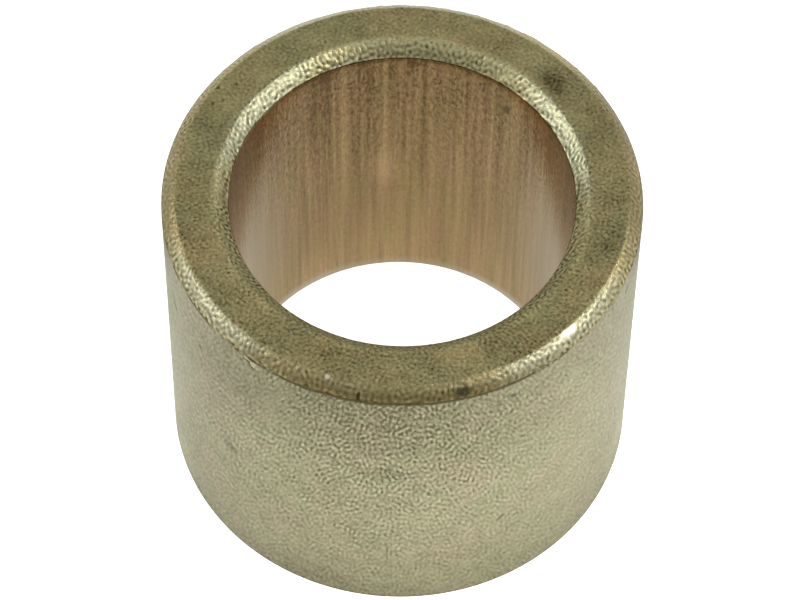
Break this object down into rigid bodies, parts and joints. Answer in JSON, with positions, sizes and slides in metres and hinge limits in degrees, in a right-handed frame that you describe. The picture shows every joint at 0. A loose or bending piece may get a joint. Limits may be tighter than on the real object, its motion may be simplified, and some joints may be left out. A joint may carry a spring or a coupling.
{
  "type": "sleeve bushing",
  "caption": "Plain straight sleeve bushing of sintered bronze: a short thick-walled cylinder with a smooth through bore and chamfered rims, pressed into a housing to carry a turning shaft.",
  "frame": {"origin": "centre of the lower end face, on the bore's axis", "axes": "+Z along the bore's axis, towards the upper end face; X and Y lie in the lower end face"},
  "size_m": [0.0166, 0.0166, 0.0143],
  "materials": {
    "sintered_bronze": "porous sintered bronze: satin grainy ends, finer sized outside, burnished bore"
  },
  "bodies": {
    "root": {"bushing": "sintered_bronze"}
  },
  "joints": []
}
